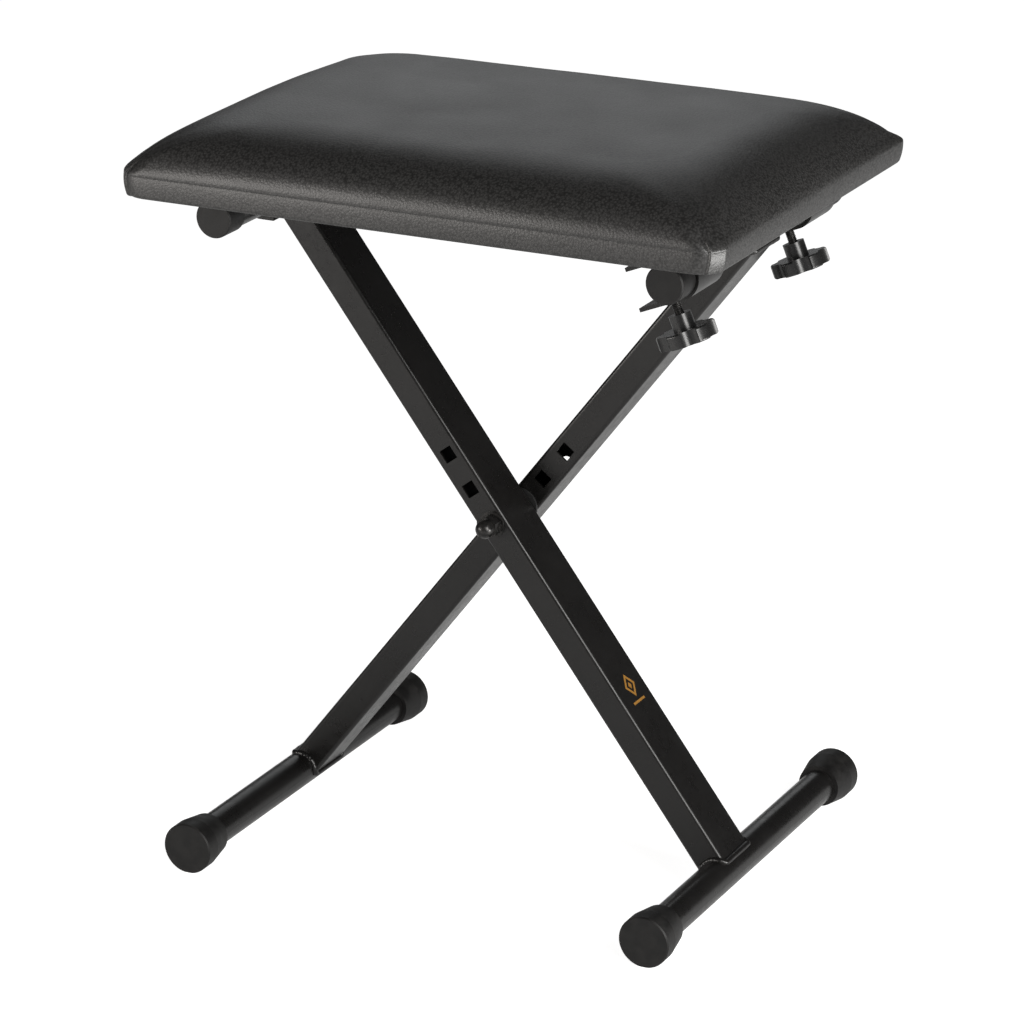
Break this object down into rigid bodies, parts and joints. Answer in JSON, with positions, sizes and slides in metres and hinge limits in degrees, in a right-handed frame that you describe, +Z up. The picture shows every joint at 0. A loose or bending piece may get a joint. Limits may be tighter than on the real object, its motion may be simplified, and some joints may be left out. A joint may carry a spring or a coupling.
{
  "type": "piano bench",
  "caption": "Folding X-frame piano bench with a padded rectangular seat, round foot and top bars, a bolted pivot, hook brackets and knob-tightened strap clamps.",
  "frame": {"origin": "on the floor under the middle of the seat", "axes": "+Z up, +X to the sitter's right along the seat's long side, +Y to the back along its short side"},
  "size_m": [0.401, 0.3046, 0.4898],
  "materials": {
    "frame_paint": "black powder coat, satin to gloss",
    "cap_rubber": "black moulded rubber",
    "knob_plastic": "black moulded plastic",
    "leatherette": "black leatherette, fine grain, satin sheen",
    "foam": "open-cell foam",
    "plywood": "plywood",
    "lining_cloth": "black non-woven cloth",
    "zinc_steel": "bright zinc plating",
    "black_hardware": "black oxide",
    "nylon": "black nylon"
  },
  "bodies": {
    "rear_frame": {"rear_leg": "frame_paint", "rear_leg_welds": "frame_paint", "rear_leg_sleeve": "zinc_steel", "left_foot_bar": "frame_paint", "left_foot_cap_front": "cap_rubber", "left_foot_cap_back": "cap_rubber", "right_top_bar": "frame_paint", "right_top_cap_front": "cap_rubber", "right_top_cap_back": "cap_rubber", "pivot_bolt": "black_hardware", "pivot_bolt_washer": "black_hardware", "cap_nut": "black_hardware", "cap_nut_washer": "black_hardware", "pivot_spacer_washer": "nylon"},
    "front_frame": {"front_leg": "frame_paint", "front_leg_welds": "frame_paint", "front_leg_sleeve": "zinc_steel", "right_foot_bar": "frame_paint", "right_foot_cap_front": "cap_rubber", "right_foot_cap_back": "cap_rubber", "left_top_bar": "frame_paint", "left_top_cap_front": "cap_rubber", "left_top_cap_back": "cap_rubber"},
    "seat": {"seat_board": "plywood", "foam_pad": "foam", "seat_cover": "leatherette", "dust_cover": "lining_cloth", "cover_staples": "zinc_steel", "bracket_screws": "zinc_steel", "hook_bracket_front": "frame_paint", "hook_bracket_back": "frame_paint", "clamp_plate_front": "frame_paint", "clamp_plate_back": "frame_paint", "clamp_strap_front": "frame_paint", "clamp_strap_back": "frame_paint", "clamp_nut_front": "zinc_steel", "clamp_nut_back": "zinc_steel"},
    "front_clamp_screw": {"clamp_stud_front": "black_hardware"},
    "front_clamp_knob": {"clamp_knob_front": "knob_plastic"},
    "back_clamp_screw": {"clamp_stud_back": "black_hardware"},
    "back_clamp_knob": {"clamp_knob_back": "knob_plastic"}
  },
  "joints": [
    {"name": "frame_fold", "type": "hinge", "parent": "rear_frame", "child": "front_frame", "pos_m": [0.0023, 0, 0.2275], "axis": [0, 1, 0], "range_deg": [0, 62]},
    {"name": "seat_tilt", "type": "hinge", "parent": "rear_frame", "child": "seat", "pos_m": [0.15605, 0, 0.42616], "axis": [0, 1, 0], "range_deg": [0, 31.5]},
    {"name": "front_screw_travel", "type": "slide", "parent": "seat", "child": "front_clamp_screw", "axis": [0.3746, 0, -0.9272], "range_m": [-0.003, 0.003]},
    {"name": "front_knob_turn", "type": "hinge", "parent": "front_clamp_screw", "child": "front_clamp_knob", "pos_m": [0.14962, -0.0865, 0.39827], "axis": [0.3746, 0, -0.9272], "range_deg": [-1080, 1080]},
    {"name": "back_screw_travel", "type": "slide", "parent": "seat", "child": "back_clamp_screw", "axis": [0.3746, 0, -0.9272], "range_m": [-0.003, 0.003]},
    {"name": "back_knob_turn", "type": "hinge", "parent": "back_clamp_screw", "child": "back_clamp_knob", "pos_m": [0.14962, 0.0865, 0.39827], "axis": [0.3746, 0, -0.9272], "range_deg": [-1080, 1080]}
  ],
  "couplings": [
    {"joint": "seat_tilt", "follows": "frame_fold", "ratio": 0.5},
    {"joint": "front_knob_turn", "follows": "front_screw_travel", "rad_per_m": 6283.2},
    {"joint": "back_knob_turn", "follows": "back_screw_travel", "rad_per_m": 6283.2}
  ]
}
